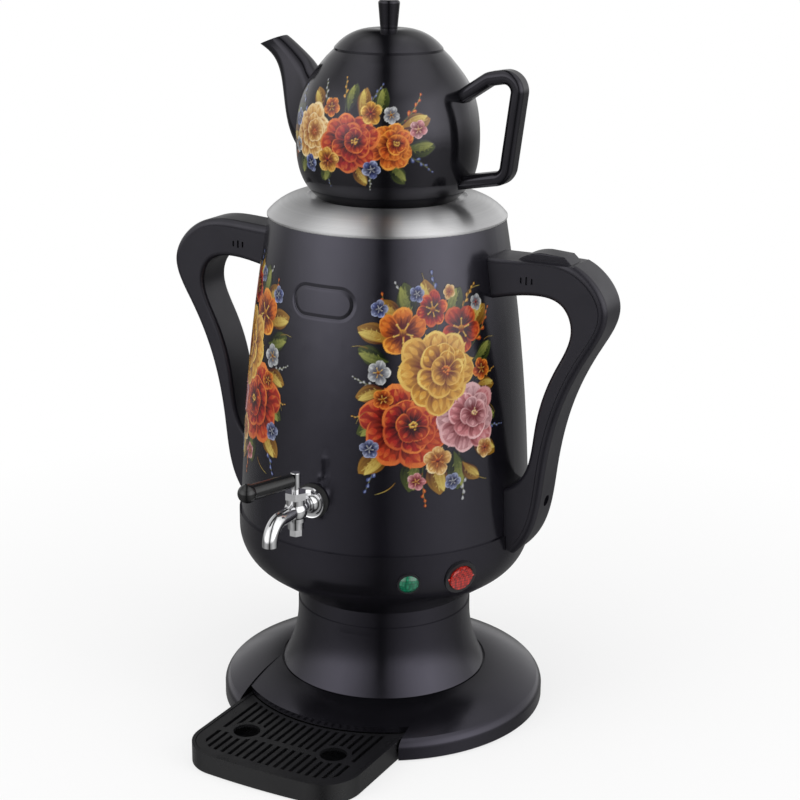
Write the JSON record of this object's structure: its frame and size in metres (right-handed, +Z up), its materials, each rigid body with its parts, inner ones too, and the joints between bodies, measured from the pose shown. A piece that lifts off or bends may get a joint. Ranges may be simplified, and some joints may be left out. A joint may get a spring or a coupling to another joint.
{
  "type": "electric tea maker",
  "caption": "Electric tea maker: a black water tank on a pedestal with handles, a tap over a pull-out drip tray, a switch and a lamp, and a teapot standing on its steel lid.",
  "frame": {"origin": "on the tank's axis at table level", "axes": "+Z up, the tap and the drip tray towards -Y, the handle with the thumb slide towards +X"},
  "size_m": [0.3262, 0.284, 0.4836],
  "materials": {
    "body_enamel": "gloss",
    "gloss_black": "gloss",
    "tray_black": "satin",
    "inner_black": "matte",
    "handle_black": "satin",
    "latch_black": "satin",
    "foot_rubber": "matte",
    "seal_rubber": "matte",
    "wire_cover": "matte",
    "screw_steel": "satin",
    "lid_steel": "brushed",
    "tank_steel": "satin",
    "heater_aluminium": "satin",
    "fuse_ceramic": "matte",
    "block_plastic": "matte",
    "pin_brass": "satin",
    "bezel_grey": "satin",
    "lamp_green": "translucent",
    "switch_red": "gloss",
    "tap_chrome": "polished",
    "grip_black": "gloss",
    "pot_glaze": "gloss"
  },
  "bodies": {
    "housing": {"base_shell": "gloss_black", "base_cover": "inner_black", "rubber_feet": "foot_rubber", "base_screws": "screw_steel", "pedestal": "gloss_black", "pedestal_screws": "screw_steel", "neck_collar": "gloss_black", "bowl": "gloss_black", "lamp_holder": "bezel_grey", "lamp_lens": "lamp_green", "switch_housing": "bezel_grey", "mains_inlet": "inner_black", "inlet_pins": "pin_brass", "body_shell": "body_enamel", "inner_tank": "tank_steel", "tank_studs": "screw_steel", "stud_nuts": "screw_steel", "heater_plate": "heater_aluminium", "heating_element": "tank_steel", "thermostat": "inner_black", "thermal_fuse": "fuse_ceramic", "terminal_block": "block_plastic", "wiring": "wire_cover", "tap_gasket": "foot_rubber", "tap_body": "tap_chrome", "tap_nut": "screw_steel", "tap_spout": "tap_chrome", "tap_bonnet": "tap_chrome", "right_handle_shell": "handle_black", "right_handle_cover": "handle_black", "left_handle_shell": "handle_black", "left_handle_cover": "handle_black", "handle_screws": "screw_steel", "cover_screws": "screw_steel"},
    "lid": {"tank_lid": "lid_steel", "lid_skirt": "lid_steel", "lid_seal": "seal_rubber"},
    "teapot": {"teapot_body": "pot_glaze", "teapot_spout": "pot_glaze", "teapot_handle": "pot_glaze"},
    "teapot_cap": {"teapot_lid": "pot_glaze"},
    "tap_valve": {"tap_plug": "tap_chrome", "tap_bottom_nut": "tap_chrome", "tap_lever": "tap_chrome", "tap_grip": "grip_black"},
    "rocker": {"switch_rocker": "switch_red"},
    "latch": {"lid_latch": "latch_black"},
    "tray": {"drip_tray": "tray_black"},
    "grille": {"drip_grille": "tray_black"}
  },
  "joints": [
    {"name": "tap_turn", "type": "hinge", "parent": "housing", "child": "tap_valve", "pos_m": [0, -0.11872, 0.1735], "axis": [0, 0, 1], "range_deg": [0, 90]},
    {"name": "rocker_press", "type": "hinge", "parent": "housing", "child": "rocker", "pos_m": [0.08535, -0.05271, 0.12126], "axis": [0.5255, 0.8508, 0], "range_deg": [-16, 0]},
    {"name": "latch_slide", "type": "slide", "parent": "housing", "child": "latch", "axis": [-1, 0, 0], "range_m": [0, 0.005]},
    {"name": "lid_lift", "type": "slide", "parent": "housing", "child": "lid", "axis": [0, 0, 1], "range_m": [0, 0.05]},
    {"name": "teapot_lift", "type": "slide", "parent": "lid", "child": "teapot", "axis": [0, 0, 1], "range_m": [0, 0.06]},
    {"name": "teapot_cap_lift", "type": "slide", "parent": "teapot", "child": "teapot_cap", "axis": [0, 0, 1], "range_m": [0, 0.03]},
    {"name": "tray_pull", "type": "slide", "parent": "housing", "child": "tray", "axis": [0, -1, 0], "range_m": [0, 0.07]},
    {"name": "grille_lift", "type": "slide", "parent": "tray", "child": "grille", "axis": [0, 0, 1], "range_m": [0, 0.03]}
  ]
}
